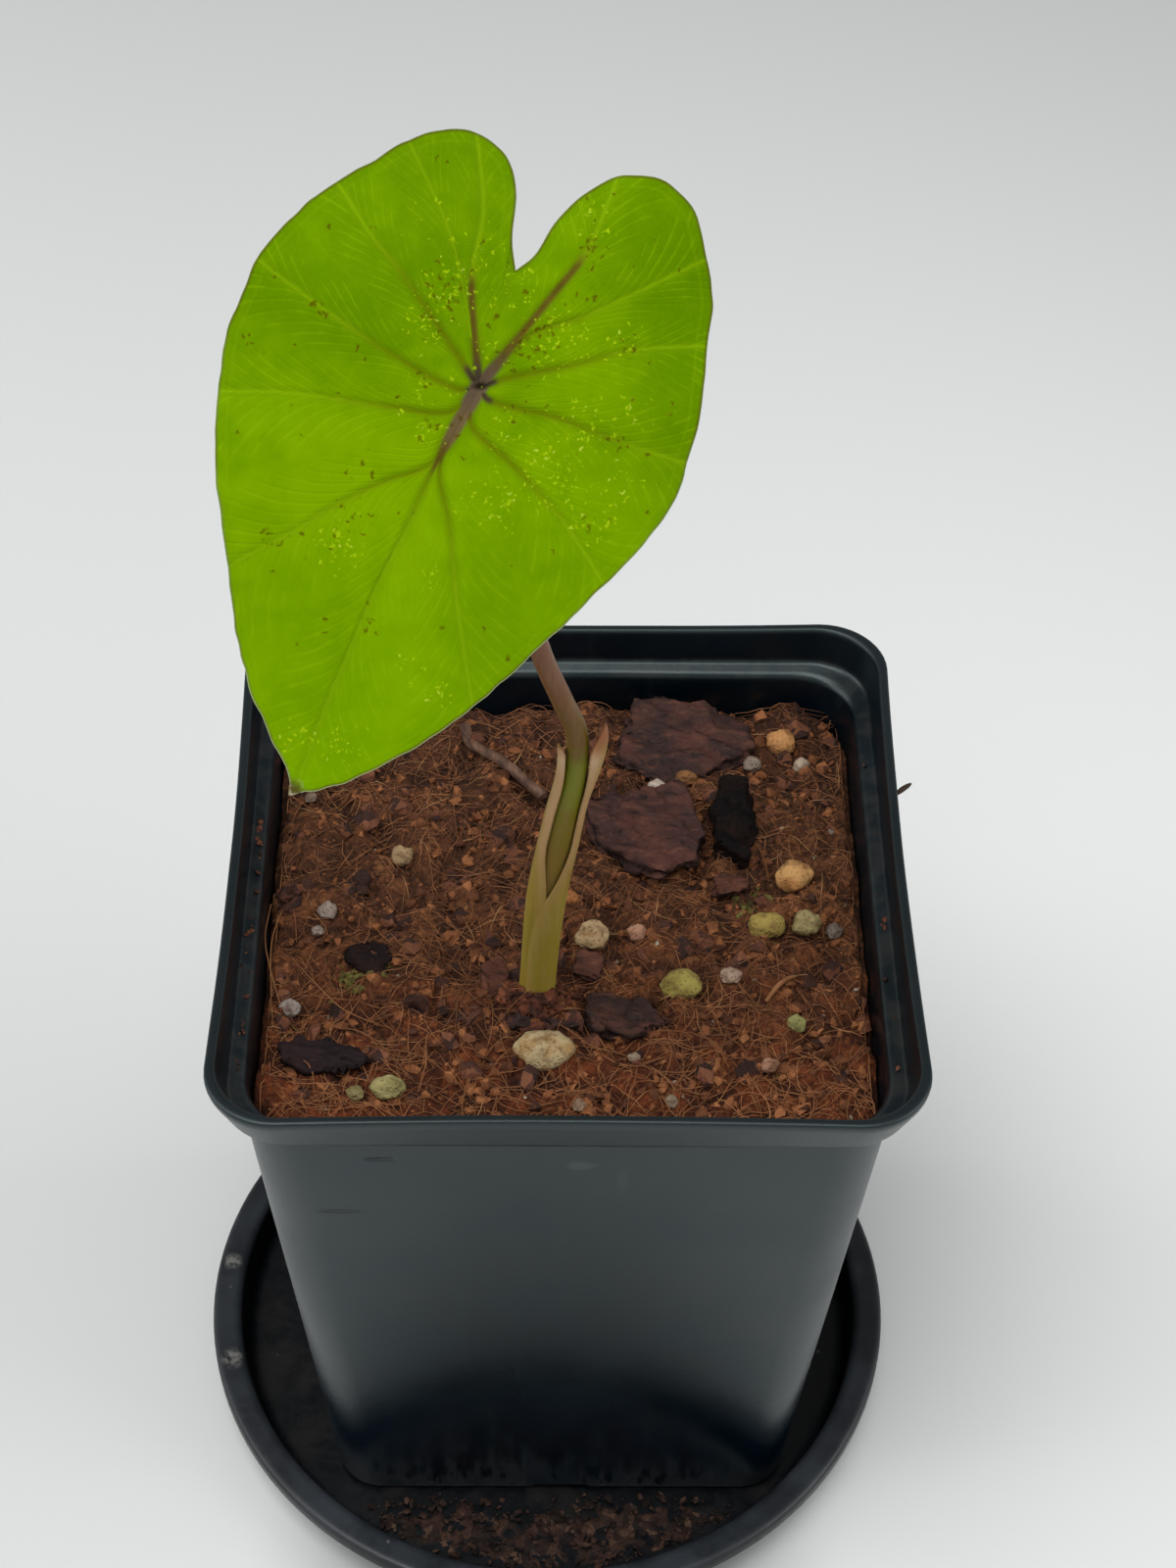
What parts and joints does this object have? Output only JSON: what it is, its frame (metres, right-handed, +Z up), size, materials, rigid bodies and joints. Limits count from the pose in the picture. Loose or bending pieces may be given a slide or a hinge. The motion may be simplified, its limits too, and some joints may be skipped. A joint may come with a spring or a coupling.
{
  "type": "potted elephant ear plant",
  "caption": "Young elephant ear plant with a heart-shaped lime green leaf on a sheathed stalk, in coir mix in a square black nursery pot on a round saucer.",
  "frame": {"origin": "middle of the saucer's flat underside, on the surface that it stands on", "axes": "+Z up; -Y towards the front, the side that the leaf's face and tip turn to; +X to the right seen from the front; the pot's sides lie along X and Y, and its middle is 2 mm towards +X and 3 mm towards +Y of the saucer's"},
  "size_m": [0.1028, 0.1028, 0.2213],
  "materials": {
    "saucer_plastic": "moulded polypropylene, dusty satin black",
    "pot_plastic": "moulded polypropylene, matte dark grey-green",
    "coir_mix": "loose coir fibre and fines",
    "corm_skin": "papery brown skin",
    "stalk": "smooth living tissue, olive green to pinkish brown",
    "sheath": "thin living tissue with papery pinkish edges",
    "blade": "satin living leaf, lime green with brown and yellow veins",
    "twig_wood": "weathered",
    "pumice_pale": "porous, cream",
    "pumice_rust": "porous, stained orange",
    "pumice_olive": "porous, stained yellow-green",
    "perlite_white": "porous, off-white",
    "bark": "layered bark, dark reddish brown",
    "bark_red": "layered bark, red brown",
    "bark_charred": "old bark, nearly black"
  },
  "bodies": {
    "root": {"saucer": "saucer_plastic", "nursery_pot": "pot_plastic", "potting_mix": "coir_mix", "corm": "corm_skin", "leaf_stalk": "stalk", "stalk_sheath": "sheath", "leaf_blade": "blade", "twig": "twig_wood", "spilled_mix": "coir_mix", "pumice_cream": "pumice_pale", "perlite_by_stem": "pumice_pale", "pumice_orange_small": "pumice_rust", "perlite_pink": "perlite_white", "pumice_olive_front": "pumice_olive", "perlite_right": "perlite_white", "perlite_pale_green": "pumice_olive", "pumice_orange": "pumice_rust", "pumice_olive_a": "pumice_olive", "pumice_olive_b": "pumice_olive", "perlite_grey": "perlite_white", "pumice_corner": "pumice_rust", "perlite_corner": "perlite_white", "perlite_corner_grey": "perlite_white", "perlite_by_bark": "perlite_white", "pumice_by_bark": "pumice_rust", "pumice_tan": "pumice_pale", "perlite_left": "perlite_white", "perlite_left_small": "perlite_white", "perlite_left_front": "perlite_white", "pumice_left_front": "pumice_olive", "pumice_left_small": "pumice_olive", "perlite_front_right": "pumice_rust", "perlite_dot_a": "perlite_white", "perlite_dot_b": "perlite_white", "perlite_dot_c": "perlite_white", "perlite_dot_d": "perlite_white", "bark_plate_back": "bark", "bark_plate_middle": "bark", "bark_black": "bark_charred", "bark_red_small": "bark_red", "bark_by_stem_back": "bark_red", "bark_by_stem_right": "bark", "bark_by_stem_front": "bark", "bark_by_stem_left": "bark_red", "bark_purple": "bark_charred", "bark_dark_small": "bark_charred"}
  },
  "joints": []
}
